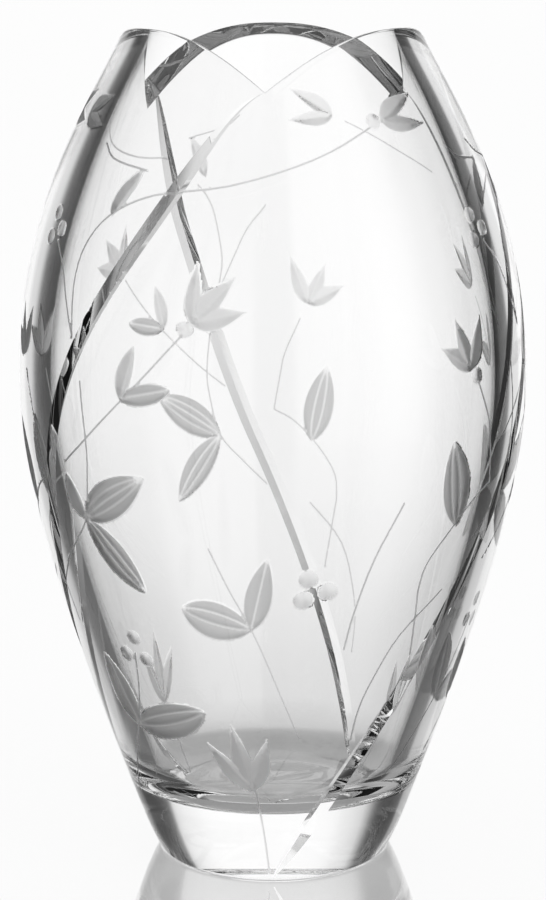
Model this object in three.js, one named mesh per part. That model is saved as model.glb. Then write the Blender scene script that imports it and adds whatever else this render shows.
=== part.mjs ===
// A tall vase of heavy clear glass, one piece: a barrel-shaped body on a thick solid base, a rim
// cut into three rounded lobes, and three long V-shaped mitre cuts that start in the dips between
// the lobes and wind about a third of a turn down the wall to the foot.
// Millimetres, +Z up, origin at the middle of the underside. Turns are in degrees about +Z,
// measured from -Y towards +X.
import * as THREE from "three";

// Driving dimensions
const vaseHeight = 300; // foot to the crests of the lobes
const footRadius = 40.8; // flat underside
const footBevel = 1.3; // rounded edge round the underside
const footTuck = 1.2; // how far the outline curves in above that edge
const footTuckHeight = 14;
const bellyRadius = 90.8; // widest place
const bellyHeight = 175;
const rimRadius = 51.3; // outside of the rim at the crests
const wallThickness = 11;
const rimThickness = 9;
const rimTaperLength = 60; // the wall thins to the rim over this height
const floorThickness = 27; // solid glass under the hollow
const floorRadius = 30; // flat middle of the hollow's floor
const floorRise = 16; // height of the curve from the floor to the wall

const lobeCount = 3;
const lobeDepth = 19.8; // from a crest down to the front dip
const backDipDepth = 23; // and down to the other two dips
const lobeSharpness = 2.6; // power of the rim's curve beside the front dip: 2 is a parabola
const backSharpness = 2.4; // and beside the other two
const lobeLean = 2.2; // a dip lies this many degrees before the middle between two crests

// The rim's cut face falls from its outer to its inner edge, by these amounts at the crests
// (right, back, left), in the front dip and in the other two.
const crestLipDrops = [3, 4, 3];
const frontLipDrop = 2.2;
const backLipDrop = 9.5;
const lipSharpness = 2; // power of the change between them

const cutWidth = 6.2; // mitre cut, across its opening
const cutDepth = 2;
const cutTurn = 119.4; // degrees that a cut winds between the dip and the foot
const cutTopTaper = 45; // height over which a cut narrows to a point below its dip
const cutFootTaper = 25;
const cutFade = 0.8; // power of the taper: 1 narrows evenly, less keeps the cut wide for longer
const cutLeastWidth = 1; // of the strip of faces that holds a cut, where the cut fades out
const cutDrifts = [0, 0, 4]; // degrees that each cut strays from even spacing at the foot
const cutDriftStart = 60; // a cut starts to stray this far below its dip
const cutDriftLength = 90; // and has strayed in full this much lower still
const cutBows = [-6.3, 0, 0]; // degrees that each cut bows to one side half way down
const cutBowStart = 18; // below the dip
const cutBowLength = 162;

// Fullness of the outline: how far each half's curve follows its end directions, as shares of
// that half's height, and how far the outline widens for each millimetre of height at its ends.
const lowerFootPull = 0.675;
const lowerBellyPull = 0.123;
const upperBellyPull = 0.528;
const upperRimPull = 0.166;
const footFlare = 0.377;
const rimTaper = 0.426;

// A cut's path: the same, for its turn against its height.
const cutFootPull = 0.367;
const cutDipPull = 0.05;
const cutFootRate = 0.711; // degrees for each millimetre of height
const cutDipRate = 2.505;

// Fineness of the surface
const facesBetweenCuts = 24;
const footRows = 3;
const outerRows = 38;
const rowCrowding = 1.4; // power that draws the rows together towards the rim
const innerRows = 18;
const floorRows = 6;
const curveSamples = 400;
const liftFrom = 0.6; // share of the height above which level rows bend up to follow the lobes

const degrees = THREE.MathUtils.degToRad;
const dipHeight = vaseHeight - lobeDepth;
const thirdTurn = 360 / lobeCount;
const dipTurn = -lobeLean;

// A curve from (x0, y0) to (x1, y1) that leaves and arrives at the given slopes dy/dx, as a
// function y(x). pull0 and pull1 are the lengths over which it keeps to those slopes.
function graph(x0, y0, slope0, pull0, x1, y1, slope1, pull1) {
  const curve = new THREE.CubicBezierCurve(
    new THREE.Vector2(x0, y0),
    new THREE.Vector2(x0 + pull0, y0 + slope0 * pull0),
    new THREE.Vector2(x1 - pull1, y1 - slope1 * pull1),
    new THREE.Vector2(x1, y1),
  );
  const points = curve.getPoints(curveSamples);
  return (x) => {
    const next = points.findIndex((p, i) => i > 0 && p.x >= x);
    const b = points[next < 0 ? curveSamples : next];
    const a = points[next < 0 ? curveSamples - 1 : next - 1];
    return a.y + ((b.y - a.y) * (x - a.x)) / (b.x - a.x);
  };
}

const upperHeight = vaseHeight - bellyHeight;
const lowerOutline = graph(
  0,
  footRadius + footBevel + footTuck,
  footFlare,
  lowerFootPull * bellyHeight,
  bellyHeight,
  bellyRadius,
  0,
  lowerBellyPull * bellyHeight,
);
const upperOutline = graph(
  bellyHeight,
  bellyRadius,
  0,
  upperBellyPull * upperHeight,
  vaseHeight,
  rimRadius,
  -rimTaper,
  upperRimPull * upperHeight,
);
const cutPath = graph(
  0,
  dipTurn - cutTurn,
  cutFootRate,
  cutFootPull * dipHeight,
  dipHeight,
  dipTurn,
  cutDipRate,
  cutDipPull * dipHeight,
);

// Radius of the outside at a height
function outerRadius(z) {
  const tuck = footTuck * Math.pow(Math.max(0, 1 - z / footTuckHeight), 2);
  return z < bellyHeight ? lowerOutline(z) - tuck : upperOutline(z);
}

// How much the outside widens for each millimetre of height
function outerSlope(z) {
  const step = 1;
  return (outerRadius(z + step) - outerRadius(z - step)) / (2 * step);
}

// Radius of the hollow's wall at a height, a wall's thickness in from the outside
function innerRadius(z) {
  const thin = THREE.MathUtils.smoothstep(z, vaseHeight - rimTaperLength, vaseHeight);
  const wall = THREE.MathUtils.lerp(wallThickness, rimThickness, thin);
  return outerRadius(z) - wall * Math.hypot(1, outerSlope(z));
}

// Share of the way from a crest to a dip, at a turn counted from a dip
function fromCrest(turn) {
  const crest = thirdTurn / 2 + lobeLean;
  const side = turn < crest ? crest : thirdTurn - crest;
  return Math.abs(turn - crest) / side;
}

function besideFrontDip(third, turn) {
  const dip = turn < thirdTurn / 2 + lobeLean ? third : third + 1;
  return dip % lobeCount === 0;
}

// Height of the rim's outer edge
function rimHeight(third, turn) {
  const front = besideFrontDip(third, turn);
  const depth = front ? lobeDepth : backDipDepth;
  return vaseHeight - depth * Math.pow(fromCrest(turn), front ? lobeSharpness : backSharpness);
}

// Height of its inner edge
function innerRimHeight(third, turn) {
  const dipDrop = besideFrontDip(third, turn) ? frontLipDrop : backLipDrop;
  const share = Math.pow(fromCrest(turn), lipSharpness);
  return rimHeight(third, turn) - THREE.MathUtils.lerp(crestLipDrops[third], dipDrop, share);
}

// Width of a mitre cut at a height, which fades to nothing at both ends
function widthOfCut(z) {
  const top = THREE.MathUtils.clamp((dipHeight - z) / cutTopTaper, 0, 1);
  const foot = THREE.MathUtils.clamp((z - footBevel) / cutFootTaper, 0, 1);
  const full = Math.sin((Math.PI / 2) * top) * Math.sin((Math.PI / 2) * foot);
  return cutWidth * Math.pow(full, cutFade);
}

// How far a cut lies from even spacing at a height
function strayOf(cut, z) {
  const below = dipHeight - z;
  const drifted = THREE.MathUtils.smoothstep(below - cutDriftStart, 0, cutDriftLength);
  const along = THREE.MathUtils.clamp((below - cutBowStart) / cutBowLength, 0, 1);
  const bowed = Math.pow(Math.sin(Math.PI * along), 2);
  return cutDrifts[cut] * drifted + cutBows[cut] * bowed;
}

// How far the wall's columns stray with the cuts on each side
function driftAt(third, turn, z) {
  const next = (third + 1) % lobeCount;
  return THREE.MathUtils.lerp(strayOf(third, z), strayOf(next, z), turn / thirdTurn);
}

// Turns of the columns of one third of the wall, counted from a cut's middle: the middle, the
// cut's edge, the wall up to the next cut, and that cut's edge
function columnTurns(halfTurn) {
  const turns = [0];
  for (let i = 0; i <= facesBetweenCuts; i++) {
    turns.push(halfTurn + ((thirdTurn - 2 * halfTurn) * i) / facesBetweenCuts);
  }
  return turns;
}

// Half of a cut's opening as a turn, measured level round the wall, which a slanted cut crosses
function halfTurnOfCut(z) {
  const step = 1;
  const middle = Math.min(z, dipHeight - step);
  const turnRate = (cutPath(middle + step) - cutPath(middle - step)) / (2 * step);
  const lean = degrees(turnRate) * outerRadius(z);
  const half = Math.max(cutLeastWidth, widthOfCut(z)) / 2;
  return THREE.MathUtils.radToDeg((half * Math.hypot(1, lean)) / outerRadius(z));
}

function pointAt(turn, radius, z) {
  const a = degrees(turn);
  return new THREE.Vector3(radius * Math.sin(a), -radius * Math.cos(a), z);
}

// Every column of the vase: (where its third begins, its number in the third, its turn from the
// cut, which third)
function eachColumn(halfTurn, visit) {
  const ring = [];
  for (let third = 0; third < lobeCount; third++) {
    const from = third * thirdTurn;
    columnTurns(halfTurn).forEach((turn, i) => ring.push(visit(from, i, turn, third)));
  }
  return ring;
}

const rimHalfTurn = halfTurnOfCut(dipHeight);

// One ring of the outside. share runs from 0 at the foot to 1 at the rim. Columns follow the
// cuts, and the rows lift gradually from level to the lobed rim.
function outerRing(share) {
  const level = THREE.MathUtils.lerp(footBevel, dipHeight, share);
  const lift = THREE.MathUtils.smoothstep(share, liftFrom, 1);
  return eachColumn(halfTurnOfCut(level), (from, i, turn, third) => {
    const z = level + lift * (rimHeight(third, turn) - dipHeight);
    const depth = i === 0 ? (cutDepth * widthOfCut(z)) / cutWidth : 0;
    const middle = from + cutPath(level) + driftAt(third, turn, level);
    return pointAt(middle + turn, outerRadius(z) - depth, z);
  });
}

// One ring of the hollow's wall. share runs from 1 at the rim to 0 above the floor's curve.
function innerRing(share) {
  const bottom = floorThickness + floorRise;
  const top = vaseHeight - backDipDepth - backLipDrop;
  const level = THREE.MathUtils.lerp(bottom, top, share);
  const lift = THREE.MathUtils.smoothstep(share, liftFrom, 1);
  return eachColumn(rimHalfTurn, (from, i, turn, third) => {
    const z = level + lift * (innerRimHeight(third, turn) - top);
    return pointAt(from + dipTurn + turn, innerRadius(z), z);
  });
}

// The curve from the hollow's wall down to its flat floor, as a list of [radius, height]
function floorCurve() {
  const top = floorThickness + floorRise;
  const wall = innerRadius(top);
  const slope = outerSlope(top);
  const curve = new THREE.CubicBezierCurve(
    new THREE.Vector2(wall, top),
    new THREE.Vector2(wall - (slope * floorRise) / 2, top - floorRise / 2),
    new THREE.Vector2((wall + floorRadius) / 2, floorThickness),
    new THREE.Vector2(floorRadius, floorThickness),
  );
  return curve.getPoints(floorRows).slice(1);
}

function levelRing(radius, z) {
  return eachColumn(rimHalfTurn, (from, i, turn) => pointAt(from + dipTurn + turn, radius, z));
}

// The underside's edge turns with the cuts' lower ends, so that the columns above it run straight.
function footRing() {
  const low = dipTurn - cutTurn;
  return eachColumn(halfTurnOfCut(footBevel), (from, i, turn, third) => {
    return pointAt(from + low + turn + driftAt(third, turn, 0), footRadius, 0);
  });
}

// A closed skin from the first pole through the rings to the last pole
function closedSkin(firstPole, rings, lastPole) {
  const count = rings[0].length;
  const corners = [firstPole, ...rings.flat(), lastPole];
  const faces = [];
  const at = (ring, i) => 1 + ring * count + (i % count);
  for (let i = 0; i < count; i++) {
    faces.push(0, at(0, i + 1), at(0, i));
    for (let ring = 0; ring + 1 < rings.length; ring++) {
      faces.push(at(ring, i), at(ring, i + 1), at(ring + 1, i + 1));
      faces.push(at(ring, i), at(ring + 1, i + 1), at(ring + 1, i));
    }
    faces.push(corners.length - 1, at(rings.length - 1, i), at(rings.length - 1, i + 1));
  }
  const geometry = new THREE.BufferGeometry().setFromPoints(corners);
  geometry.setIndex(faces);
  geometry.computeVertexNormals();
  return geometry;
}

function clearGlass() {
  return new THREE.MeshStandardMaterial({
    color: 0xf2f5f4,
    roughness: 0.03,
    metalness: 0,
    transparent: true,
    opacity: 0.35,
  });
}

function vaseBody() {
  const rings = [footRing()];
  const tuckShare = (footTuckHeight - footBevel) / (dipHeight - footBevel);
  for (let row = 0; row < footRows; row++) {
    rings.push(outerRing((tuckShare * row) / footRows));
  }
  for (let row = 0; row <= outerRows; row++) {
    const crowded = 1 - Math.pow(1 - row / outerRows, rowCrowding);
    rings.push(outerRing(THREE.MathUtils.lerp(tuckShare, 1, crowded)));
  }
  for (let row = innerRows; row >= 0; row--) {
    rings.push(innerRing(1 - Math.pow(1 - row / innerRows, rowCrowding)));
  }
  for (const p of floorCurve()) {
    rings.push(levelRing(p.x, p.y));
  }
  const underside = new THREE.Vector3(0, 0, 0);
  const floorMiddle = new THREE.Vector3(0, 0, floorThickness);
  const mesh = new THREE.Mesh(closedSkin(underside, rings, floorMiddle), clearGlass());
  mesh.name = "vase_body";
  return mesh;
}

const vase = new THREE.Group();
vase.add(vaseBody());

export default vase;
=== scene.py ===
# A tall vase of heavy clear cut glass: lobed rim, winding mitre cuts, engraved leaves and flowers.
# Lengths on the vase are in millimetres. A turn is in degrees about +Z, from -Y towards +X.
import math

import bpy
import numpy as np
from mathutils import Matrix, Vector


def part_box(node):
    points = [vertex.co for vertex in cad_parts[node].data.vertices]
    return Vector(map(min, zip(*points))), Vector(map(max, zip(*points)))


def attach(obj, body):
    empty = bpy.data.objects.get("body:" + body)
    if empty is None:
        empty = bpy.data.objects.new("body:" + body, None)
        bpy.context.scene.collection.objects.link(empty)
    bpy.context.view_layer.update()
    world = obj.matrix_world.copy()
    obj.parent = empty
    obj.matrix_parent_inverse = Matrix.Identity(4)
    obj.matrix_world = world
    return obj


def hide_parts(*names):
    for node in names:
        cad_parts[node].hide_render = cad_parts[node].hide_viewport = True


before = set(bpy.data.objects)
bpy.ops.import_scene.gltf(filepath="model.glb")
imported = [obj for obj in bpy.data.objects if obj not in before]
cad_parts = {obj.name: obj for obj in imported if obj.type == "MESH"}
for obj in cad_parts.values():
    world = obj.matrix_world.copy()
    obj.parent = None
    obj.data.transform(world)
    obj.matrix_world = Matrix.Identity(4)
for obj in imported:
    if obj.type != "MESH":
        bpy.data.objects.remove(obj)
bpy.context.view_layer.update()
low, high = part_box("vase_body")

MM = 0.001

# Sizes of the solid vase, named as they are in the part's source
VASE_HEIGHT = (high.z - low.z) / MM
BELLY_RADIUS = min(-low.x, high.x, -low.y, high.y) / MM
FOOT_RADIUS = 40.8
FOOT_BEVEL = 1.3
FOOT_TUCK = 1.2
FOOT_TUCK_HEIGHT = 14
BELLY_HEIGHT = 175
RIM_RADIUS = 51.3
WALL_THICKNESS = 11
RIM_THICKNESS = 9
RIM_TAPER_LENGTH = 60
FLOOR_THICKNESS = 27
FLOOR_RADIUS = 30
FLOOR_RISE = 16
LOBE_COUNT = 3
LOBE_DEPTH = 19.8
BACK_DIP_DEPTH = 23
LOBE_SHARPNESS = 2.6
BACK_SHARPNESS = 2.4
LOBE_LEAN = 2.2
CREST_LIP_DROPS = (3, 4, 3)
FRONT_LIP_DROP = 2.2
BACK_LIP_DROP = 9.5
LIP_SHARPNESS = 2
EDGE_ROUND = 0.7  # of the rim's two edges, which the part leaves sharp
CUT_WIDTH = 6.2
CUT_DEPTH = 2
CUT_SLOPE = 2 * CUT_DEPTH / CUT_WIDTH
CUT_TURN = 119.4
CUT_TOP_TAPER = 45
CUT_FOOT_TAPER = 25
CUT_FADE = 0.8
CUT_DRIFTS = (0, 0, 4)
CUT_DRIFT_START = 60
CUT_DRIFT_LENGTH = 90
CUT_BOWS = (-6.3, 0, 0)
CUT_BOW_START = 18
CUT_BOW_LENGTH = 162

# How far each end of the outline's lower and upper curve and of the cuts' path keeps to its slope,
# as a share of that curve's height, and those slopes
LOWER_FOOT_PULL = 0.675
LOWER_BELLY_PULL = 0.123
UPPER_BELLY_PULL = 0.528
UPPER_RIM_PULL = 0.166
FOOT_FLARE = 0.377
RIM_TAPER = 0.426
CUT_FOOT_PULL = 0.367
CUT_DIP_PULL = 0.05
CUT_FOOT_RATE = 0.711  # degrees for each millimetre of height
CUT_DIP_RATE = 2.505

THIRD = 360 / LOBE_COUNT
DIP_HEIGHT = VASE_HEIGHT - LOBE_DEPTH
DIP_TURN = -LOBE_LEAN

# Fineness of the mesh
NEWTON_STEPS = 6
OVERSHOOT = 0.05  # how far a curve runs on past its ends
COLUMNS = 120
WIDEST_CELL = 5.5
FINEST_CELL = 1.0
CELL_GROWTH = 1.85  # how much longer a cell may be for each millimetre from the nearest engraved line
SNAP = 0.42  # of the finest cell: a corner this near an engraved line is moved onto it
SNAP_ROUNDS = 2
LARGEST_FOLD = 0.1  # of its old area: a triangle turned over by more than this is put back
UNFOLD_ROUNDS = 8
NARROWEST_CUT = 0.1  # half the width of the narrowest mitre cut that is kept sharp
DEEPER = 0.02  # how much deeper than the mitre cut an engraved place is where it hides the cut
FAR = 9.0  # stands for any distance that is too long to matter
SLOPE_STEP = 0.05  # the short step over which a slope or a direction is measured
TRIAL_STEP = 1e-3  # the same on the grid, before its true length is known
LEAST_STEEPNESS = 0.5  # of the distance from a line, squared, so that no corner jumps far
OUTLINE_POINTS = 23
ARC_STEPS = 600
HAIR = 1e-9  # keeps a division off zero, and the last corners off the end of the skin


def bezier(p, t):
    s = 1 - t
    return s**3 * p[0] + 3 * s * s * t * p[1] + 3 * s * t * t * p[2] + t**3 * p[3]


def bezier_rate(p, t):
    s = 1 - t
    return 3 * (s * s * (p[1] - p[0]) + 2 * s * t * (p[2] - p[1]) + t * t * (p[3] - p[2]))


class Graph:
    """A curve y(x) between two ends that keeps to a slope at each end over a pull length."""

    def __init__(self, x0, y0, slope0, pull0, x1, y1, slope1, pull1):
        self.x = (x0, x0 + pull0, x1 - pull1, x1)
        self.y = (y0, y0 + slope0 * pull0, y1 - slope1 * pull1, y1)

    def at(self, x):
        t = np.clip((x - self.x[0]) / (self.x[3] - self.x[0]), 0, 1)
        for _ in range(NEWTON_STEPS):
            t = np.clip(t - (bezier(self.x, t) - x) / bezier_rate(self.x, t), -OVERSHOOT, 1 + OVERSHOOT)
        return bezier(self.y, t)


upper_height = VASE_HEIGHT - BELLY_HEIGHT
lower_outline = Graph(
    0, FOOT_RADIUS + FOOT_BEVEL + FOOT_TUCK, FOOT_FLARE, LOWER_FOOT_PULL * BELLY_HEIGHT,
    BELLY_HEIGHT, BELLY_RADIUS, 0, LOWER_BELLY_PULL * BELLY_HEIGHT,
)
upper_outline = Graph(
    BELLY_HEIGHT, BELLY_RADIUS, 0, UPPER_BELLY_PULL * upper_height,
    VASE_HEIGHT, RIM_RADIUS, -RIM_TAPER, UPPER_RIM_PULL * upper_height,
)
cut_path = Graph(
    0, DIP_TURN - CUT_TURN, CUT_FOOT_RATE, CUT_FOOT_PULL * DIP_HEIGHT,
    DIP_HEIGHT, DIP_TURN, CUT_DIP_RATE, CUT_DIP_PULL * DIP_HEIGHT,
)


def outer_radius(z):
    lower = lower_outline.at(np.minimum(z, BELLY_HEIGHT))
    upper = upper_outline.at(np.maximum(z, BELLY_HEIGHT))
    tuck = FOOT_TUCK * np.maximum(0, 1 - z / FOOT_TUCK_HEIGHT) ** 2
    return np.where(z < BELLY_HEIGHT, lower - tuck, upper)


def outer_slope(z):
    return (outer_radius(z + SLOPE_STEP) - outer_radius(z - SLOPE_STEP)) / (2 * SLOPE_STEP)


def smooth(x, start, end):
    t = np.clip((x - start) / (end - start), 0, 1)
    return t * t * (3 - 2 * t)


def inner_radius(z):
    to_rim = smooth(z, VASE_HEIGHT - RIM_TAPER_LENGTH, VASE_HEIGHT)
    wall = WALL_THICKNESS + (RIM_THICKNESS - WALL_THICKNESS) * to_rim
    return outer_radius(z) - wall * np.hypot(1, outer_slope(z))


def nearest_third(turn):
    """The same turn counted from the nearest of the three copies, -60 to 60 degrees."""
    return np.mod(turn + THIRD / 2, THIRD) - THIRD / 2


def rim_edges(turn):
    """Heights of the rim's outer and inner edge."""
    third, from_dip = np.divmod(np.mod(turn - DIP_TURN, 360), THIRD)
    crest = THIRD / 2 + LOBE_LEAN
    before = from_dip < crest
    share = np.abs(from_dip - crest) / np.where(before, crest, THIRD - crest)
    front = np.mod(third + ~before, LOBE_COUNT) == 0  # past a crest, the next dip is the one that counts
    depth = np.where(front, LOBE_DEPTH, BACK_DIP_DEPTH)
    outer = VASE_HEIGHT - depth * share ** np.where(front, LOBE_SHARPNESS, BACK_SHARPNESS)
    crest_drop = np.array(CREST_LIP_DROPS)[third.astype(int) % LOBE_COUNT]
    dip_drop = np.where(front, FRONT_LIP_DROP, BACK_LIP_DROP)
    return outer, outer - crest_drop - (dip_drop - crest_drop) * share**LIP_SHARPNESS


def nearest_cut(turn, z):
    """Turn from the nearest mitre cut's middle, and its number: 0 begins in the front dip."""
    level = np.minimum(z, DIP_HEIGHT)
    past = turn - cut_path.at(level)
    cut = np.mod(np.round(past / THIRD), LOBE_COUNT).astype(int)
    drifted = smooth(DIP_HEIGHT - level - CUT_DRIFT_START, 0, CUT_DRIFT_LENGTH)
    along = np.clip((DIP_HEIGHT - level - CUT_BOW_START) / CUT_BOW_LENGTH, 0, 1)
    bowed = np.sin(math.pi * along) ** 2
    stray = np.array(CUT_DRIFTS)[cut] * drifted + np.array(CUT_BOWS)[cut] * bowed
    return nearest_third(past) - stray, cut


def mitre(turn, z):
    """Distance from the middle of the nearest mitre cut, and half the cut's width there."""
    level = np.minimum(z, DIP_HEIGHT)
    radius = outer_radius(level)
    rate = (cut_path.at(level) - cut_path.at(level - 2 * SLOPE_STEP)) / (2 * SLOPE_STEP)
    lean = np.radians(rate) * radius / np.hypot(1, outer_slope(level))
    across = np.radians(nearest_cut(turn, z)[0]) * radius / np.hypot(1, lean)
    top = np.clip((DIP_HEIGHT - z) / CUT_TOP_TAPER, 0, 1)
    foot = np.clip((z - FOOT_BEVEL) / CUT_FOOT_TAPER, 0, 1)
    full = np.sin(math.pi / 2 * top) * np.sin(math.pi / 2 * foot)
    return across, CUT_WIDTH / 2 * full**CUT_FADE


# Engraving. A place is (turn, height). A motif repeats on the three panels between the mitre cuts,
# unless OnPanels keeps it to some of them.

HEIGHTS = np.linspace(0, VASE_HEIGHT, ARC_STEPS + 1)
ARC = np.concatenate([[0], np.cumsum(np.hypot(np.diff(HEIGHTS), np.diff(outer_radius(HEIGHTS))))])
CULL = 3  # a motif is worked out only for points this near its bounding circle
PANEL_SHIFTS = (0, 2.8, 0)  # how far each panel's engraving is turned from its place in the first
NARROWEST_BLADE = 1e-4  # of its full width
DEEPENING = 1.6  # how fast a blade reaches its full depth as it widens from an end
THREE_SCOOPS = (-0.3, 0.3)
TWO_SCOOPS = (0.0,)
RIDGE_HALF_WIDTH = 0.2
# The two bounds below also set the painted shade on frosted glass: the petals' light grey at the first, the
# leaves' dark grey at the second.
PETAL_GROUND = -0.05  # how deep inside frosted glass a petal counts as lying, and a leaf's middle
LEAF_GROUND = -0.6
STEM_HALF_WIDTH = 0.38
STEM_DEPTH = 0.3
STEM_STEP = 0.25  # how finely a stem's curve is drawn, as a share of the way between two places
BERRY = 2.7
LARGE_BERRY = 3.3
BERRY_DEPTH = 0.4


class Places:
    """Places on the outside, with what every motif needs to know of them."""

    def __init__(self, turn, z):
        past, cut = nearest_cut(turn, z)
        self.panel = np.mod(cut - (past < 0), LOBE_COUNT)
        self.turn = turn - np.array(PANEL_SHIFTS)[self.panel]
        self.radius = outer_radius(z)
        self.arc = np.interp(z, HEIGHTS, ARC)

    def flat(self, middle):
        """The wall laid flat round the turn called middle, as (x, y) in millimetres."""
        return np.stack([np.radians(nearest_third(self.turn - middle)) * self.radius, self.arc], -1)


class OnPanels:
    """A motif cut on some of the panels only: 0 is right of the front cut, then 1 and 2 towards +X."""

    def __init__(self, panels, motif):
        self.panels, self.motif = panels, motif

    def measure(self, places):
        on = np.isin(places.panel, self.panels)
        return [np.where(on, value, off) for value, off in zip(self.motif.measure(places), (0, FAR, FAR))]


def unroll(turn, z, middle):
    across = np.radians(nearest_third(turn - middle)) * outer_radius(z)
    return np.stack([across, np.interp(z, HEIGHTS, ARC)], -1)


def line_distance(points, line):
    """Distance of each point from a line of joined points."""
    best = np.full(len(points), np.inf)
    for a, b in zip(line[:-1], line[1:]):
        d = b - a
        t = np.clip(((points - a) @ d) / max(d @ d, HAIR), 0, 1)
        best = np.minimum(best, np.hypot(*(points - a - t[:, None] * d).T))
    return best


def near(points, line):
    """Which points are near a line's bounding circle, and every point's distance from that circle."""
    middle = (line.min(0) + line.max(0)) / 2
    radius = np.hypot(*(line - middle).T).max()
    gap = np.hypot(*(points - middle).T) - radius
    return gap < CULL, gap


class Blade:
    """A leaf or petal between two places. left and right are its half widths, seen from base to tip.

    full is how far along it is widest, and taper how hollow its sides are near the ends.
    ridges are the lines between its wheel-cut facets, from -1 at its right edge to 1 at its left.
    A blade with no ridges is a V cut, deepest along its middle.
    """

    def __init__(self, base, tip, left, right, ridges=(), full=0.43, taper=1.75, depth=0.8):
        self.middle = (base[0] + tip[0]) / 2
        ends = unroll(np.array([base[0], tip[0]]), np.array([base[1], tip[1]]), self.middle)
        self.base = ends[0]
        self.length = np.hypot(*(ends[1] - ends[0]))
        self.ahead = (ends[1] - ends[0]) / self.length
        self.aside = np.array([-self.ahead[1], self.ahead[0]])
        self.left, self.right, self.ridges = left, right, ridges
        self.powers = taper * full, taper * (1 - full)
        self.peak = full ** self.powers[0] * (1 - full) ** self.powers[1]
        self.depth = depth
        share = (1 - np.cos(np.linspace(0, math.pi, OUTLINE_POINTS))) / 2
        sides = [self.edge(share, side) for side in (-1, 1)]
        self.outline = np.concatenate([sides[0], sides[1][::-1]])
        self.lines = [self.edge(share, side) for side in (ridges or (0,))]

    def shape(self, share):
        share = np.clip(share, 0, 1)
        return share ** self.powers[0] * (1 - share) ** self.powers[1] / self.peak

    def edge(self, share, side):
        out = side * (self.left if side > 0 else self.right) * self.shape(share)
        return self.base + np.outer(share * self.length, self.ahead) + np.outer(out, self.aside)

    def across(self, points):
        """(how far along, how far across from -1 to 1) of each point"""
        along = (points - self.base) @ self.ahead / self.length
        out = (points - self.base) @ self.aside
        half = np.where(out > 0, self.left, self.right) * np.maximum(self.shape(along), NARROWEST_BLADE)
        inside = (along > 0) & (along < 1)
        return along, np.where(inside, out / half, FAR)

    def measure(self, places):
        """(depth, distance into the clear from the frosted area, distance from its nearest line)"""
        points = places.flat(self.middle)
        close, gap = near(points, self.outline)
        depth = np.zeros(len(points))
        clear, line = gap.copy(), gap.copy()
        p = points[close]
        along, c = self.across(p)
        rim = line_distance(p, self.outline)
        ridge = np.min([line_distance(p, r) for r in self.lines], axis=0)
        inside = np.abs(c) < 1
        size = np.minimum(1, DEEPENING * self.shape(along)) * self.depth
        if self.ridges:
            marks = np.array([-1, *self.ridges, 1])
            k = np.clip(np.searchsorted(marks, c) - 1, 0, len(marks) - 2)
            q = (2 * c - marks[k] - marks[k + 1]) / (marks[k + 1] - marks[k])
            bowl = 0.5 * (1 - c * c) + 0.5 * (1 - q * q)
        else:
            bowl = 1 - np.abs(c)
        depth[close] = np.where(inside, size * bowl, 0)
        solid = np.where(inside, -rim, rim)
        # Along a ridge the glass counts as at the frosting's edge. It is half polished and only half under
        # the petals' light painted shade, so the ridge shows as a light line against the leaf's darker
        # painted shade.
        bright = np.minimum(RIDGE_HALF_WIDTH - ridge, 0)
        ridged = np.maximum(solid, np.where(inside, bright, solid))
        clear[close] = ridged if self.ridges else np.maximum(solid, PETAL_GROUND)
        line[close] = np.minimum(rim, np.where(inside, ridge, rim))
        return depth, clear, line


class Stem:
    """A fine engraved line through places."""

    def __init__(self, places):
        places = np.array(places, float)
        self.middle = (places[:, 0].min() + places[:, 0].max()) / 2
        turn, z = smooth_line(places).T
        self.line = unroll(turn, z, self.middle)

    def measure(self, places):
        points = places.flat(self.middle)
        close, gap = near(points, self.line)
        off = gap.copy()
        off[close] = line_distance(points[close], self.line)
        depth = STEM_DEPTH * np.clip(1 - off / STEM_HALF_WIDTH, 0, 1)
        return depth, off - STEM_HALF_WIDTH, off


class Berry:
    """A round dish, half polished, and so half under the petals' painted shade."""

    def __init__(self, place, radius=BERRY):
        self.middle, self.radius = place[0], radius
        self.at = unroll(np.array([place[0]]), np.array([place[1]]), place[0])[0]

    def measure(self, places):
        off = np.hypot(*(places.flat(self.middle) - self.at).T)
        depth = BERRY_DEPTH * np.clip(1 - (off / self.radius) ** 2, 0, 1)
        return depth, np.maximum(off - self.radius, 0), np.abs(off - self.radius)


def smooth_line(places):
    """A smooth curve through places, by Catmull and Rom's rule."""
    p = np.concatenate([[2 * places[0] - places[1]], places, [2 * places[-1] - places[-2]]])
    out = []
    for a, b, c, d in zip(p, p[1:], p[2:], p[3:]):
        for t in np.arange(0, 1, STEM_STEP):
            out.append(b + 0.5 * t * (c - a + t * (2 * a - 5 * b + 4 * c - d + t * (3 * (b - c) + d - a))))
    return np.array(out + [places[-1]])


def flower(base, petals):
    """Pointed petals that spread from one base: (tip, left half width, right half width) each."""
    return [Blade(base, tip, left, right, full=0.36, taper=2.1, depth=0.9) for tip, left, right in petals]


def moved(places, turned, raised):
    return [(turn + turned, z + raised) for turn, z in places]


def upper_leaves(turned=0, raised=0):
    """The two leaves below the large flower, on their stem."""
    base, up, right = moved([(-33.8, 181.5), (-30.4, 199.5), (-22.0, 185.7)], turned, raised)
    stem = moved([(-19.5, 203.4), (-30.5, 185.3), (-43.8, 166.1), (-51.6, 156.5)], turned, raised)
    return [
        Blade(base, up, 4.0, 2.4),
        Blade(base, right, 3.2, 3.8, TWO_SCOOPS, full=0.5, taper=1.4),
        Stem(stem),
    ]


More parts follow.
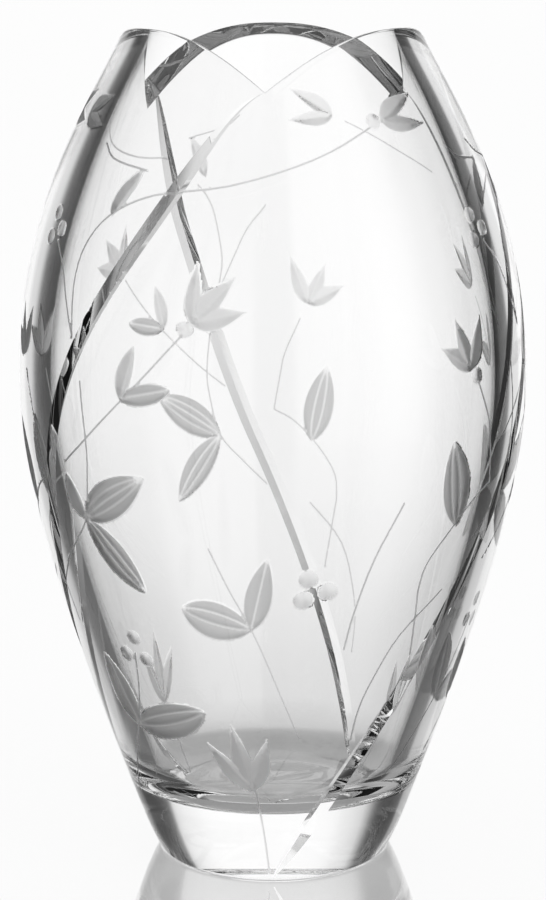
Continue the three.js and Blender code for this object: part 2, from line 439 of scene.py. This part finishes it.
def middle_leaves(turned=0, raised=0):
    """The two large leaves half way up, on their stem."""
    base, up, down = moved([(-47.0, 137.5), (-28.4, 155.5), (-31.9, 113.6)], turned, raised)
    stem = [(-45.4, 185.1), (-43.9, 165.4), (-44.3, 154.0), (-47.0, 137.5), (-53.0, 127.5), (-60.3, 117.9)]
    return [
        Blade(base, up, 6.8, 6.3, (-0.35, 0.1, 0.5), full=0.45),
        Blade(base, down, 6.0, 5.2, THREE_SCOOPS, full=0.5),
        Stem(moved(stem, turned, raised)),
    ]


def lower_leaves(turned=0, raised=0):
    """The two leaves above the foot."""
    base, right, up = moved([(-47.2, 59.6), (-20.5, 70.0), (-53.9, 85.6)], turned, raised)
    return [
        Blade(base, right, 6.0, 8.0, THREE_SCOOPS, full=0.5, taper=1.5),
        Blade(base, up, 6.0, 6.0, TWO_SCOOPS),
    ]


def large_flower(turned=0):
    base, *tips = moved([(-17.2, 207.7), (-16.7, 227.0), (-7.9, 222.6), (-5.4, 211.7)], turned, 0)
    return flower(base, zip(tips, (3.2, 4.0, 3.4), (2.2, 3.0, 3.8)))


def low_flower(turned=0, raised=0):
    """The flower above the foot."""
    base, *tips = moved([(-7.8, 39.3), (-21.6, 58.4), (-13.0, 66.5), (-2.0, 60.5)], turned, raised)
    return flower(base, zip(tips, (3.4, 3.6, 3.0), (3.0, 3.4, 4.0)))


def on_panels(panels, motifs):
    return [OnPanels(panels, motif) for motif in motifs]


def motifs():
    """Everything engraved, each on the panels that bear it. The panels differ a little, as hand work does."""
    leaves = [
        *on_panels((0, 1), upper_leaves()),
        *on_panels((2,), upper_leaves(5, 0.5)),
        *on_panels((0, 1), middle_leaves()),
        *on_panels((2,), middle_leaves(2.2)),
        OnPanels((0,), Blade((-47.0, 137.5), (-51.6, 152.0), 5.0, 2.0)),
        *on_panels((0, 1), lower_leaves()),
        *on_panels((2,), lower_leaves(-4.2, 4.5)),
        Blade((46.0, 134.9), (42.0, 165.4), 6.4, 6.6, THREE_SCOOPS, full=0.45),
        Blade((-41.7, 240.3), (-34.6, 255.3), 3.4, 2.2),
    ]
    right_flower = [((38.1, 197.1), 3.2, 3.8), ((42.8, 206.0), 3.4, 2.6), ((51.4, 205.7), 2.4, 3.6)]
    back_flower = [((36.9, 198.3), 3.2, 3.8), ((42.1, 207.2), 3.4, 2.8), ((52.4, 210.2), 2.6, 4.0)]
    flowers = [
        *on_panels((0, 1), large_flower()),
        *on_panels((2,), large_flower(5)),
        *on_panels((0, 1), low_flower()),
        *on_panels((2,), low_flower(5, 4)),
        *on_panels((0, 2), flower((47.5, 188.8), right_flower)),
        *on_panels((1,), flower((47.3, 190.2), back_flower)),
        *on_panels((0, 2), flower((32.6, 270.4), [((46.9, 279.0), 4.4, 2.0), ((48.5, 268.8), 2.4, 3.6)])),
        *on_panels((1,), flower((35.8, 262.9), [((50.9, 272.9), 4.4, 2.6), ((52.2, 260.3), 2.6, 4.0)])),
    ]
    lower_stem = [(-40.0, 89.0), (-42.4, 73.9), (-47.2, 59.6), (-56.4, 42.0), (-65.0, 28.0)]
    back_lower_stem = [(-37.9, 94.8), (-44.0, 79.0), (-51.4, 64.1), (-60.6, 44.5), (-72.7, 21.5)]
    stems = [
        OnPanels((0, 1), Stem(lower_stem)),
        OnPanels((2,), Stem(back_lower_stem)),
        Stem([(-6.9, 42.0), (-4.1, 22.8), (-2.1, 3.5)]),
        Stem([(49.7, 183.9), (53.9, 169.9), (55.2, 160.8), (56.8, 148.0)]),
        Stem([(56.9, 147.3), (49.7, 141.1), (39.5, 125.0), (37.4, 115.2), (37.9, 105.8), (39.4, 88.2)]),
        Stem([(45.7, 111.2), (34.3, 97.2), (28.1, 81.2), (25.3, 70.0), (24.4, 58.1)]),
        OnPanels((0,), Stem([(29.5, 146.1), (23.5, 127.2), (19.8, 108.0), (18.2, 94.4)])),
        OnPanels((0, 2), Stem([(28.1, 268.5), (10.7, 259.0), (-10.7, 250.9), (-30.0, 247.3), (-42.4, 239.9),
                               (-48.6, 229.5), (-50.2, 217.0), (-48.8, 199.2)])),
        OnPanels((1,), Stem([(31.3, 261.0), (10.7, 252.5), (-6.0, 248.0)])),
        OnPanels((1,), Stem([(-39.5, 237.5), (-42.5, 233.8), (-45.7, 226.5), (-48.5, 209.1),
                             (-47.7, 197.1)])),
        Stem([(-60.8, 229.5), (-55.6, 221.0), (-52.0, 209.9), (-48.8, 199.2)]),
        Stem([(-51.5, 262.5), (-46.3, 258.0), (-34.0, 255.0)]),
    ]
    berries = [
        *[OnPanels((0, 1), Berry(place)) for place in [(-39.0, 95.3), (-43.0, 88.3), (-36.2, 87.6)]],
        *[OnPanels((0,), Berry(place, LARGE_BERRY)) for place in [(8.0, 121.8), (6.9, 114.1), (12.8, 117.0)]],
        *[OnPanels((0, 2), Berry(place)) for place in [(-64.5, 238.5), (-60.3, 233.7), (-65.4, 230.4)]],
        *[OnPanels((0,), Berry(place)) for place in [(-18.7, 205.5), (49.0, 186.0), (29.8, 270.6)]],
    ]
    return leaves + flowers + stems + berries


MOTIFS = motifs()


def relief(turn, z):
    """(depth cut from the wall, distance into the clear from frosted glass, distance from the next line)"""
    across, half = mitre(turn, z)
    depth = np.maximum(CUT_SLOPE * (half - np.abs(across)), 0)
    clear = np.full(len(z), FAR)
    edge = np.minimum(np.abs(across), np.abs(np.abs(across) - half))
    line = np.where(half > NARROWEST_CUT, edge, FAR)
    places = Places(turn, z)
    for motif in MOTIFS:
        d, c, n = motif.measure(places)
        depth, clear, line = np.maximum(depth, d), np.minimum(clear, c), np.minimum(line, n)
    return depth, clear, line


# The skin. A corner is at (turn, along). along counts the stretches of the section from the foot
# over the rim to the hollow's floor: bevel, wall, outer edge, lip, inner edge, inner wall, curve.

BEVEL, OUTSIDE, OUTER_EDGE, LIP, INNER_EDGE, INSIDE, CURVE = range(7)
ROWS = {BEVEL: 2, OUTSIDE: 60, OUTER_EDGE: 3, LIP: 3, INNER_EDGE: 3, INSIDE: 50, CURVE: 10}
SKIN_END = len(ROWS) - HAIR


def rounded(a, corner, b, t):
    s = 1 - t
    return s * s * a + 2 * s * t * corner + t * t * b


def lip_points(turn):
    """Outer corner, inner corner and the points where the rounded edges begin, as (radius, height) pairs."""
    top, inner_top = rim_edges(turn)
    outer = np.stack([outer_radius(top), top])
    inner = np.stack([inner_radius(inner_top), inner_top])
    over = (inner - outer) / np.hypot(*(inner - outer)) * EDGE_ROUND
    below_outer = np.stack([outer_radius(top - EDGE_ROUND), top - EDGE_ROUND])
    low_z = inner_top - EDGE_ROUND
    below_inner = np.stack([inner_radius(low_z), low_z])
    return outer, inner, outer + over, inner - over, below_outer, below_inner


def section(turn, along):
    """(radius, height) of the skin with nothing engraved."""
    part = np.clip(along.astype(int), 0, CURVE)
    t = along - part
    outer, inner, lip_start, lip_end, below_outer, below_inner = lip_points(turn)
    bevel_top = np.full(len(t), float(FOOT_BEVEL))
    foot = np.stack([np.full(len(t), float(FOOT_RADIUS)), np.zeros(len(t))])
    corner = np.stack([outer_radius(np.zeros(len(t))), np.zeros(len(t))])
    over_bevel = np.stack([outer_radius(bevel_top), bevel_top])
    wall_z = FOOT_BEVEL + t * (below_outer[1] - FOOT_BEVEL)
    curve_top = FLOOR_THICKNESS + FLOOR_RISE
    inner_z = below_inner[1] + t * (curve_top - below_inner[1])
    start = float(inner_radius(np.array([float(curve_top)]))[0])
    lean = float(outer_slope(np.array([float(curve_top)]))[0])
    curve_r = bezier((start, start - lean * FLOOR_RISE / 2, (start + FLOOR_RADIUS) / 2, FLOOR_RADIUS), t)
    curve_z = bezier((curve_top, curve_top - FLOOR_RISE / 2, FLOOR_THICKNESS, FLOOR_THICKNESS), t)
    stretches = {
        BEVEL: rounded(foot, corner, over_bevel, t),
        OUTSIDE: np.stack([outer_radius(wall_z), wall_z]),
        OUTER_EDGE: rounded(below_outer, outer, lip_start, t),
        LIP: lip_start + t * (lip_end - lip_start),
        INNER_EDGE: rounded(lip_end, inner, below_inner, t),
        INSIDE: np.stack([inner_radius(inner_z), inner_z]),
        CURVE: np.stack([curve_r, curve_z]),
    }
    r, z = np.select([part == k for k in stretches], list(stretches.values()))
    return part, r, z


def skin(turn, along, detail=False):
    """Points of the skin, and with detail the frosting and line distances too."""
    part, r, z = section(turn, along)
    wall = part == OUTSIDE
    clear = np.full(len(z), FAR)
    line = np.full(len(z), FAR)
    depth, clear[wall], line[wall] = relief(turn[wall], z[wall])
    slope = outer_slope(z[wall])
    tilt = np.hypot(1, slope)
    r[wall] -= depth / tilt
    z[wall] += depth * slope / tilt
    a = np.radians(turn)
    points = np.stack([r * np.sin(a), -r * np.cos(a), z], -1)
    return (points, clear, line) if detail else points


def first_grid():
    """Corners and triangles of an even grid round the skin."""
    alongs = np.concatenate([k + np.arange(n) / n for k, n in ROWS.items()] + [[SKIN_END]])
    turns = DIP_TURN + np.arange(COLUMNS) * 360 / COLUMNS
    corners = np.array([(u, w) for w in alongs for u in turns])
    i, j = np.meshgrid(np.arange(COLUMNS), np.arange(len(alongs) - 1))
    i, j = i.ravel(), j.ravel()
    a, b = j * COLUMNS + i, j * COLUMNS + (i + 1) % COLUMNS
    c, d = b + COLUMNS, a + COLUMNS
    return corners, np.concatenate([np.stack([a, b, c], -1), np.stack([a, c, d], -1)])


def halve(corners, faces, lengths, wanted):
    """Splits each edge that is longer than wanted, and the longest edge of every triangle that has one."""
    count = len(corners)
    ends = np.sort(faces[:, [0, 1, 1, 2, 2, 0]].reshape(-1, 2), axis=1)
    _, first, edge = np.unique(ends[:, 0] * count + ends[:, 1], return_index=True, return_inverse=True)
    edge = edge.reshape(-1, 3)
    ends = ends[first]
    length = lengths(ends)
    marked = length > wanted(ends)
    rows = np.arange(len(faces))
    longest = edge[rows, length[edge].argmax(1)]
    while True:
        short = marked[edge].any(1) & ~marked[longest]
        if not short.any():
            break
        marked[longest[short]] = True
    new = np.full(len(ends), -1)
    new[marked] = count + np.arange(marked.sum())
    a, b = corners[ends[marked, 0]], corners[ends[marked, 1]]
    apart = np.mod(b[:, 0] - a[:, 0] + 180, 360) - 180
    middles = np.stack([a[:, 0] + apart / 2, (a[:, 1] + b[:, 1]) / 2], -1)
    order = (length[edge].argmax(1)[:, None] + np.arange(3)) % 3  # so that the longest edge is from a to b
    va, vb, vc = faces[rows[:, None], order].T
    mab, mbc, mca = new[edge[rows[:, None], order]].T
    pieces = [faces[mab < 0]]
    for when, shape in (
        ((mab >= 0) & (mca < 0), (va, mab, vc)),
        ((mab >= 0) & (mca >= 0), (va, mab, mca)),
        ((mab >= 0) & (mca >= 0), (mca, mab, vc)),
        ((mab >= 0) & (mbc < 0), (mab, vb, vc)),
        ((mab >= 0) & (mbc >= 0), (mab, vb, mbc)),
        ((mab >= 0) & (mbc >= 0), (mab, mbc, vc)),
    ):
        pieces.append(np.stack([s[when] for s in shape], -1))
    return np.concatenate([corners, middles]), np.concatenate(pieces), len(middles)


def refined_grid():
    """The grid, halved until it is fine along every engraved line."""
    corners, faces = first_grid()
    points, _, line = skin(corners[:, 0], corners[:, 1], detail=True)
    while True:
        def lengths(ends):
            return np.linalg.norm(points[ends[:, 0]] - points[ends[:, 1]], axis=1)

        def wanted(ends):
            away = np.minimum(line[ends[:, 0]], line[ends[:, 1]])
            return np.clip(CELL_GROWTH * away, FINEST_CELL, WIDEST_CELL)

        corners, faces, added = halve(corners, faces, lengths, wanted)
        if not added:
            return corners, faces, line
        more = skin(corners[-added:, 0], corners[-added:, 1], detail=True)
        points = np.concatenate([points, more[0]])
        line = np.concatenate([line, more[2]])


def areas(corners, faces):
    """Twice each triangle's area on the grid of turn and along, with the other sign if it is turned over."""
    a, b, c = (corners[faces[:, k]] for k in range(3))
    ab, ac = b - a, c - a
    ab[:, 0], ac[:, 0] = (np.mod(side[:, 0] + 180, 360) - 180 for side in (ab, ac))
    return ab[:, 0] * ac[:, 1] - ab[:, 1] * ac[:, 0]


def unfolded(before, after, faces):
    """Puts back the corner that moved furthest in each triangle that a move has turned over."""
    weights = np.array([np.radians(BELLY_RADIUS), VASE_HEIGHT])
    for _ in range(UNFOLD_ROUNDS):
        folded = faces[areas(after, faces) < -LARGEST_FOLD * areas(before, faces)]
        if not len(folded):
            break
        went = np.hypot(*((after - before) * weights).T)[folded]
        worst = folded[np.arange(len(folded)), went.argmax(1)]
        after[worst] = before[worst]
    return after


def snapped(corners, faces, line):
    """Moves the wall's corners that lie beside an engraved line onto it, but not those near its ends."""
    step = 0.03
    margin = 0.01
    before = corners.copy()
    for _ in range(SNAP_ROUNDS):
        turn, along = corners.T
        r, z = section(turn, along)[1:]
        inner = (along > OUTSIDE + margin) & (along < OUTSIDE + 1 - margin)
        near_line = np.where(inner & (line < SNAP * FINEST_CELL))[0]
        turn, z, r = turn[near_line], z[near_line], r[near_line]
        tilt = np.hypot(1, outer_slope(z))
        turn_step, z_step = np.degrees(step / r), step / tilt
        x_rate = (relief(turn + turn_step, z)[2] - relief(turn - turn_step, z)[2]) / (2 * step)
        y_rate = (relief(turn, z + z_step)[2] - relief(turn, z - z_step)[2]) / (2 * step)
        now = relief(turn, z)[2]
        steep = np.maximum(x_rate**2 + y_rate**2, LEAST_STEEPNESS)
        corners[near_line, 0] -= np.degrees(now * x_rate / steep / r)
        span = rim_edges(turn)[0] - EDGE_ROUND - FOOT_BEVEL
        corners[near_line, 1] -= now * y_rate / steep / tilt / span
        line[near_line] = 0
    return unfolded(before, corners, faces)


def skin_normals(corners):
    """Directions square to the skin, from points a short step away on each side."""
    turn, along = corners.T
    r = np.hypot(*skin(turn, along)[:, :2].T)
    turn_step = np.degrees(SLOPE_STEP / r)
    along_step = np.full(len(turn), TRIAL_STEP)
    ahead = skin(turn, along + along_step) - skin(turn, along - along_step)
    along_step *= 2 * SLOPE_STEP / np.maximum(np.linalg.norm(ahead, axis=1), HAIR)
    up = skin(turn, np.minimum(along + along_step, SKIN_END)) - skin(turn, np.maximum(along - along_step, 0))
    side = skin(turn + turn_step, along) - skin(turn - turn_step, along)
    square = np.cross(side, up)
    return square / np.linalg.norm(square, axis=1)[:, None]


def facet_normals(turn, z, side):
    """Directions square to a mitre cut's left facet for side -1, its right one for 1, or the wall for 0."""
    slope = outer_slope(z)
    tilt = np.hypot(1, slope)
    turn_step, z_step = np.degrees(SLOPE_STEP / outer_radius(z)), SLOPE_STEP / tilt

    def depth(turn, z):
        across, half = mitre(turn, z)
        return CUT_SLOPE * (abs(side) * half - side * across)

    x_rate = (depth(turn + turn_step, z) - depth(turn - turn_step, z)) / (2 * SLOPE_STEP)
    y_rate = (depth(turn, z + z_step) - depth(turn, z - z_step)) / (2 * SLOPE_STEP)
    sine, cosine = np.sin(np.radians(turn)), np.cos(np.radians(turn))
    ahead = np.stack([cosine, sine, np.zeros(len(z))])
    up = np.stack([slope * sine, -slope * cosine, np.ones(len(z))]) / tilt
    out = np.stack([sine, -cosine, -slope]) / tilt
    square = (out + x_rate * ahead + y_rate * up).T
    return square / np.linalg.norm(square, axis=1)[:, None]


def corner_normals(corners, normals, faces):
    """The direction square to the skin at each triangle's corners. The mitre cuts' lines stay sharp."""
    turn, along = corners.T
    part, _, z = section(turn, along)
    across, half = mitre(turn, z)
    cut = CUT_SLOPE * (half - np.abs(across))
    wall = np.where((part == OUTSIDE) & (half > NARROWEST_CUT) & (cut > -FINEST_CELL))[0]
    plain = np.zeros(len(z), bool)
    plain[wall] = relief(turn[wall], z[wall])[0] < np.maximum(cut[wall], 0) + DEEPER
    middle, opening = across[faces].mean(1), half[faces].mean(1)
    sides = np.where(np.abs(middle) > opening, 0, np.sign(middle))
    out = normals[faces]
    for side in (-1, 0, 1):
        of_side = sides == side
        square = facet_normals(turn, z, side)
        kept = plain[faces[of_side]][..., None]
        out[of_side] = np.where(kept, square[faces[of_side]], out[of_side])
    return out


def closed_skin():
    """(points, corner normals, triangles, frosting) of the whole vase."""
    corners, faces, line = refined_grid()
    corners = snapped(corners, faces, line.copy())
    points, clear, _ = skin(corners[:, 0], corners[:, 1], detail=True)
    normals = skin_normals(corners)
    count = len(points)
    order = np.mod(corners[:, 0], 360)
    foot_ring = np.where(corners[:, 1] == 0)[0]
    foot_ring = foot_ring[np.argsort(order[foot_ring])]
    floor_ring = np.where(corners[:, 1] == SKIN_END)[0]
    floor_ring = floor_ring[np.argsort(order[floor_ring])]
    caps = [
        np.stack([np.roll(foot_ring, -1), foot_ring, np.full(len(foot_ring), count)], -1),
        np.stack([floor_ring, np.roll(floor_ring, -1), np.full(len(floor_ring), count + 1)], -1),
    ]
    normals[foot_ring] = (0, 0, -1)
    normals[floor_ring] = (0, 0, 1)
    directions = corner_normals(corners, normals, faces)
    for cap, up in zip(caps, (-1, 1)):
        directions = np.concatenate([directions, np.full((len(cap), 3, 3), (0, 0, up))])
    points = np.concatenate([points, [[0, 0, 0], [0, 0, FLOOR_THICKNESS]]])
    clear = np.concatenate([clear, [FAR, FAR]])
    return points, directions, np.concatenate([faces, *caps]), clear


def vase():
    points, normals, faces, clear = closed_skin()
    mesh = bpy.data.meshes.new("cut_glass_vase")
    mesh.vertices.add(len(points))
    mesh.vertices.foreach_set("co", (points * MM).ravel())
    mesh.loops.add(faces.size)
    mesh.loops.foreach_set("vertex_index", faces.ravel())
    mesh.polygons.add(len(faces))
    mesh.polygons.foreach_set("loop_start", np.arange(0, faces.size, 3))
    mesh.update(calc_edges=True)
    mesh.validate()
    mesh.polygons.foreach_set("use_smooth", np.ones(len(faces), bool))
    mesh.normals_split_custom_set(normals.reshape(-1, 3))
    mesh.attributes.new("clear", "FLOAT", "POINT").data.foreach_set("value", clear)
    piece = bpy.data.objects.new("cut_glass_vase", mesh)
    bpy.context.scene.collection.objects.link(piece)
    mesh.materials.append(glass())
    print("vase:", len(points), "points,", len(faces), "faces")
    return piece


GLASS_IOR = 1.52
GROUND_ROUGHNESS = 0.55
GROUND_EDGE = 0.05  # half the width over which polished glass turns matt
# Painted shade: ground glass has no grey of its own, so these greys darken the engraving to the tones its
# light gives, lighter on petals than deep in leaves.
PETAL_PAINTED_SHADE = (0.8, 0.8, 0.8, 1)
LEAF_PAINTED_SHADE = (0.45, 0.45, 0.45, 1)


def glass():
    """Clear polished crystal, ground matt where it is engraved, and painted grey there as painted shade."""
    material = bpy.data.materials.new("crystal")
    material.use_nodes = True
    nodes, links = material.node_tree.nodes, material.node_tree.links
    shader = nodes["Principled BSDF"]
    shader.inputs["Transmission Weight"].default_value = 1
    shader.inputs["IOR"].default_value = GLASS_IOR
    clear = nodes.new("ShaderNodeAttribute")
    clear.attribute_name = "clear"
    ground = nodes.new("ShaderNodeMapRange")
    ground.inputs["From Min"].default_value = GROUND_EDGE
    ground.inputs["From Max"].default_value = -GROUND_EDGE
    links.new(clear.outputs["Fac"], ground.inputs["Value"])
    rough = nodes.new("ShaderNodeMix")
    rough.inputs["A"].default_value = 0
    rough.inputs["B"].default_value = GROUND_ROUGHNESS
    links.new(ground.outputs["Result"], rough.inputs["Factor"])
    links.new(rough.outputs["Result"], shader.inputs["Roughness"])
    # Painted shade: how far a place goes from the petals' light grey to the leaves' dark grey, by its depth
    # inside the frosting.
    leaf = nodes.new("ShaderNodeMapRange")
    leaf.inputs["From Min"].default_value = PETAL_GROUND
    leaf.inputs["From Max"].default_value = LEAF_GROUND
    links.new(clear.outputs["Fac"], leaf.inputs["Value"])
    # The grey of the painted shade at each place, not a colour of the glass.
    matt = nodes.new("ShaderNodeMix")
    matt.data_type = "RGBA"
    matt.inputs["A"].default_value = PETAL_PAINTED_SHADE
    matt.inputs["B"].default_value = LEAF_PAINTED_SHADE
    links.new(leaf.outputs["Result"], matt.inputs["Factor"])
    # White where polished, the painted shade's grey where ground.
    painted_frost_shade = nodes.new("ShaderNodeMix")
    painted_frost_shade.data_type = "RGBA"
    painted_frost_shade.inputs["A"].default_value = (1, 1, 1, 1)
    links.new(matt.outputs["Result"], painted_frost_shade.inputs["B"])
    links.new(ground.outputs["Result"], painted_frost_shade.inputs["Factor"])
    links.new(painted_frost_shade.outputs["Result"], shader.inputs["Base Color"])
    return material


# The studio. Its lengths are in metres, but the camera's place is in millimetres.

CAMERA_PLACE = (0, -849.3, 322.9)
CAMERA_PITCH = 11.6
CAMERA_ROLL = -0.15
PHOTO_WIDTH = 546
FOCAL_PIXELS = 2394
SENSOR = 36
CAMERA_REACH = 200
FLOOR_SIZE = 60
TABLE_WHITE = 1.4
TABLE_MATT = 0.25
TABLE_GLOSS = 0.65
TABLE_ROUGHNESS = 0.03
SHADE_RADIUS = 0.045
SHADE_DEPTH = 0.0004
SHADE_TONE = 0.3
GLASS_BOUNCES = 24
GLOSSY_BOUNCES = 16

# The studio round the vase, as the glass sees it. SCREEN is the share of a screen's light at each
# angle round the vase from the screen's middle. BEFORE_SCREENS and IN_GAPS are the light at each
# elevation, in front of a screen and in the gaps between them.
SCREENS = ((0, 1), (-90, 0.4), (135, 0.9))  # the azimuth of each screen's middle, and its strength
SCREEN = (
    (-180, 0), (-46, 0), (-42, 0.01), (-38, 0.03), (-34, 0.14), (-32, 0.3), (-30, 0.5), (-27, 0.72),
    (-20, 0.88), (-12, 1), (15, 1), (24, 0.92), (30, 0.84), (34, 0.62), (37, 0.12), (45, 0.02),
    (57, 0), (180, 0),
)
# Below the horizon both fall to greys that are painted shade: the table in the vase's shadow, as the glass
# sees it.
BEFORE_SCREENS = ((-90, 0.28), (-50, 0.33), (-34, 0.38), (-29, 0.6), (-18, 0.77), (-14, 0.93), (-8, 1))
SCREEN_STRENGTH = 1.05
IN_GAPS = ((-90, 0.15), (-50, 0.14), (-38, 0.14), (-28, 0.12), (-18, 0.04), (10, 0.04), (32, 0.12), (55, 1))


def camera():
    data = bpy.data.cameras.new("camera")
    data.sensor_fit = "HORIZONTAL"
    data.sensor_width = SENSOR
    data.lens = SENSOR * FOCAL_PIXELS / PHOTO_WIDTH
    data.clip_end = CAMERA_REACH
    eye = bpy.data.objects.new("camera", data)
    pitch = Matrix.Rotation(math.radians(90 - CAMERA_PITCH), 4, "X")
    roll = Matrix.Rotation(math.radians(CAMERA_ROLL), 4, "Z")
    place = Matrix.Translation([c * MM for c in CAMERA_PLACE])
    eye.matrix_world = place @ pitch @ roll
    bpy.context.scene.collection.objects.link(eye)
    bpy.context.scene.camera = eye


def math_node(tree, operation, *values):
    node = tree.nodes.new("ShaderNodeMath")
    node.operation = operation
    for socket, value in zip(node.inputs, values):
        if isinstance(value, (int, float)):
            socket.default_value = value
        else:
            tree.links.new(value, socket)
    return node.outputs[0]


def ramp(tree, value, stops):
    """A strength that follows stops, (angle, strength) pairs, as value changes."""
    first, last = stops[0][0], stops[-1][0]
    share = tree.nodes.new("ShaderNodeMapRange")
    share.inputs["From Min"].default_value = first
    share.inputs["From Max"].default_value = last
    tree.links.new(value, share.inputs["Value"])
    node = tree.nodes.new("ShaderNodeFloatCurve")
    points = node.mapping.curves[0].points
    while len(points) < len(stops):
        points.new(0.5, 0.5)
    for point, (angle, strength) in zip(points, stops):
        point.location = ((angle - first) / (last - first), strength)
    node.mapping.update()
    tree.links.new(share.outputs["Result"], node.inputs["Value"])
    return node.outputs["Value"]


def studio_world():
    """White screens with dark gaps between them, over a floor painted grey as painted shade, the table in the
    vase's shadow as the glass sees it, and under a white ceiling.
    """
    world = bpy.data.worlds.new("studio")
    world.use_nodes = True
    bpy.context.scene.world = world
    tree = world.node_tree
    where = tree.nodes.new("ShaderNodeTexCoord")
    split = tree.nodes.new("ShaderNodeSeparateXYZ")
    tree.links.new(where.outputs["Generated"], split.inputs[0])
    x, y, z = split.outputs
    azimuth = math_node(tree, "DEGREES", math_node(tree, "ARCTAN2", x, y))
    rise = math_node(tree, "DEGREES", math_node(tree, "ARCSINE", z))
    screen = 0
    for middle, strength in SCREENS:
        off = math_node(tree, "WRAP", math_node(tree, "SUBTRACT", azimuth, middle), 180, -180)
        lit = math_node(tree, "MULTIPLY", ramp(tree, off, SCREEN), strength)
        screen = math_node(tree, "MAXIMUM", lit, screen)
    gap = ramp(tree, rise, IN_GAPS)
    before = math_node(tree, "MULTIPLY", ramp(tree, rise, BEFORE_SCREENS), SCREEN_STRENGTH)
    rest = math_node(tree, "MAXIMUM", math_node(tree, "SUBTRACT", before, gap), 0)
    light = math_node(tree, "MULTIPLY_ADD", rest, screen, gap)
    path = tree.nodes.new("ShaderNodeLightPath")
    seen = math_node(tree, "MAXIMUM", light, path.outputs["Is Camera Ray"])
    tree.links.new(seen, tree.nodes["Background"].inputs["Strength"])
    tree.nodes["Background"].inputs["Color"].default_value = (1, 1, 1, 1)


def floor():
    """A white glossy table that only the camera sees. The glass shows the studio's lower part instead."""
    mesh = bpy.data.meshes.new("floor")
    h = FLOOR_SIZE / 2
    mesh.from_pydata([(-h, -h, 0), (h, -h, 0), (h, h, 0), (-h, h, 0)], [], [(0, 1, 2, 3)])
    table = bpy.data.objects.new("floor", mesh)
    bpy.context.scene.collection.objects.link(table)
    table.visible_transmission = False
    table.visible_glossy = False
    table.visible_diffuse = False
    table.visible_shadow = False
    material = bpy.data.materials.new("white_table")
    material.use_nodes = True
    tree = material.node_tree
    tree.nodes.remove(tree.nodes["Principled BSDF"])
    white = tree.nodes.new("ShaderNodeEmission")
    matt = tree.nodes.new("ShaderNodeBsdfDiffuse")
    matt.inputs["Color"].default_value = (1, 1, 1, 1)
    white.inputs["Strength"].default_value = TABLE_WHITE
    gloss = tree.nodes.new("ShaderNodeBsdfGlossy")
    gloss.inputs["Roughness"].default_value = TABLE_ROUGHNESS
    shaded = tree.nodes.new("ShaderNodeMixShader")
    shaded.inputs[0].default_value = TABLE_MATT
    tree.links.new(white.outputs[0], shaded.inputs[1])
    tree.links.new(matt.outputs[0], shaded.inputs[2])
    top = tree.nodes.new("ShaderNodeMixShader")
    top.inputs[0].default_value = TABLE_GLOSS
    tree.links.new(shaded.outputs[0], top.inputs[1])
    tree.links.new(gloss.outputs[0], top.inputs[2])
    tree.links.new(top.outputs[0], tree.nodes["Material Output"].inputs[0])
    mesh.materials.append(material)
    return table


def under_vase():
    """The shaded patch of table right under the foot, which only the glass shows."""
    mesh = bpy.data.meshes.new("table_under_vase")
    turns = [math.radians(t) for t in range(0, 360, 5)]
    ring = [(SHADE_RADIUS * math.cos(t), SHADE_RADIUS * math.sin(t), -SHADE_DEPTH) for t in turns]
    mesh.from_pydata(ring, [], [tuple(range(len(ring)))])
    patch = bpy.data.objects.new("table_under_vase", mesh)
    bpy.context.scene.collection.objects.link(patch)
    patch.visible_camera = False
    patch.visible_diffuse = False
    patch.visible_glossy = False
    patch.visible_shadow = False
    material = bpy.data.materials.new("table_in_shade")
    material.use_nodes = True
    tree = material.node_tree
    tree.nodes.remove(tree.nodes["Principled BSDF"])
    grey = tree.nodes.new("ShaderNodeEmission")
    grey.inputs["Strength"].default_value = SHADE_TONE
    tree.links.new(grey.outputs[0], tree.nodes["Material Output"].inputs[0])
    mesh.materials.append(material)
    return patch


camera()
studio_world()
body = vase()
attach(body, "root")
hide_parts("vase_body")
floor()
under_vase()

scene = bpy.context.scene
scene.view_settings.view_transform = "Standard"
scene.cycles.max_bounces = GLASS_BOUNCES
scene.cycles.transmission_bounces = GLASS_BOUNCES
scene.cycles.glossy_bounces = GLOSSY_BOUNCES
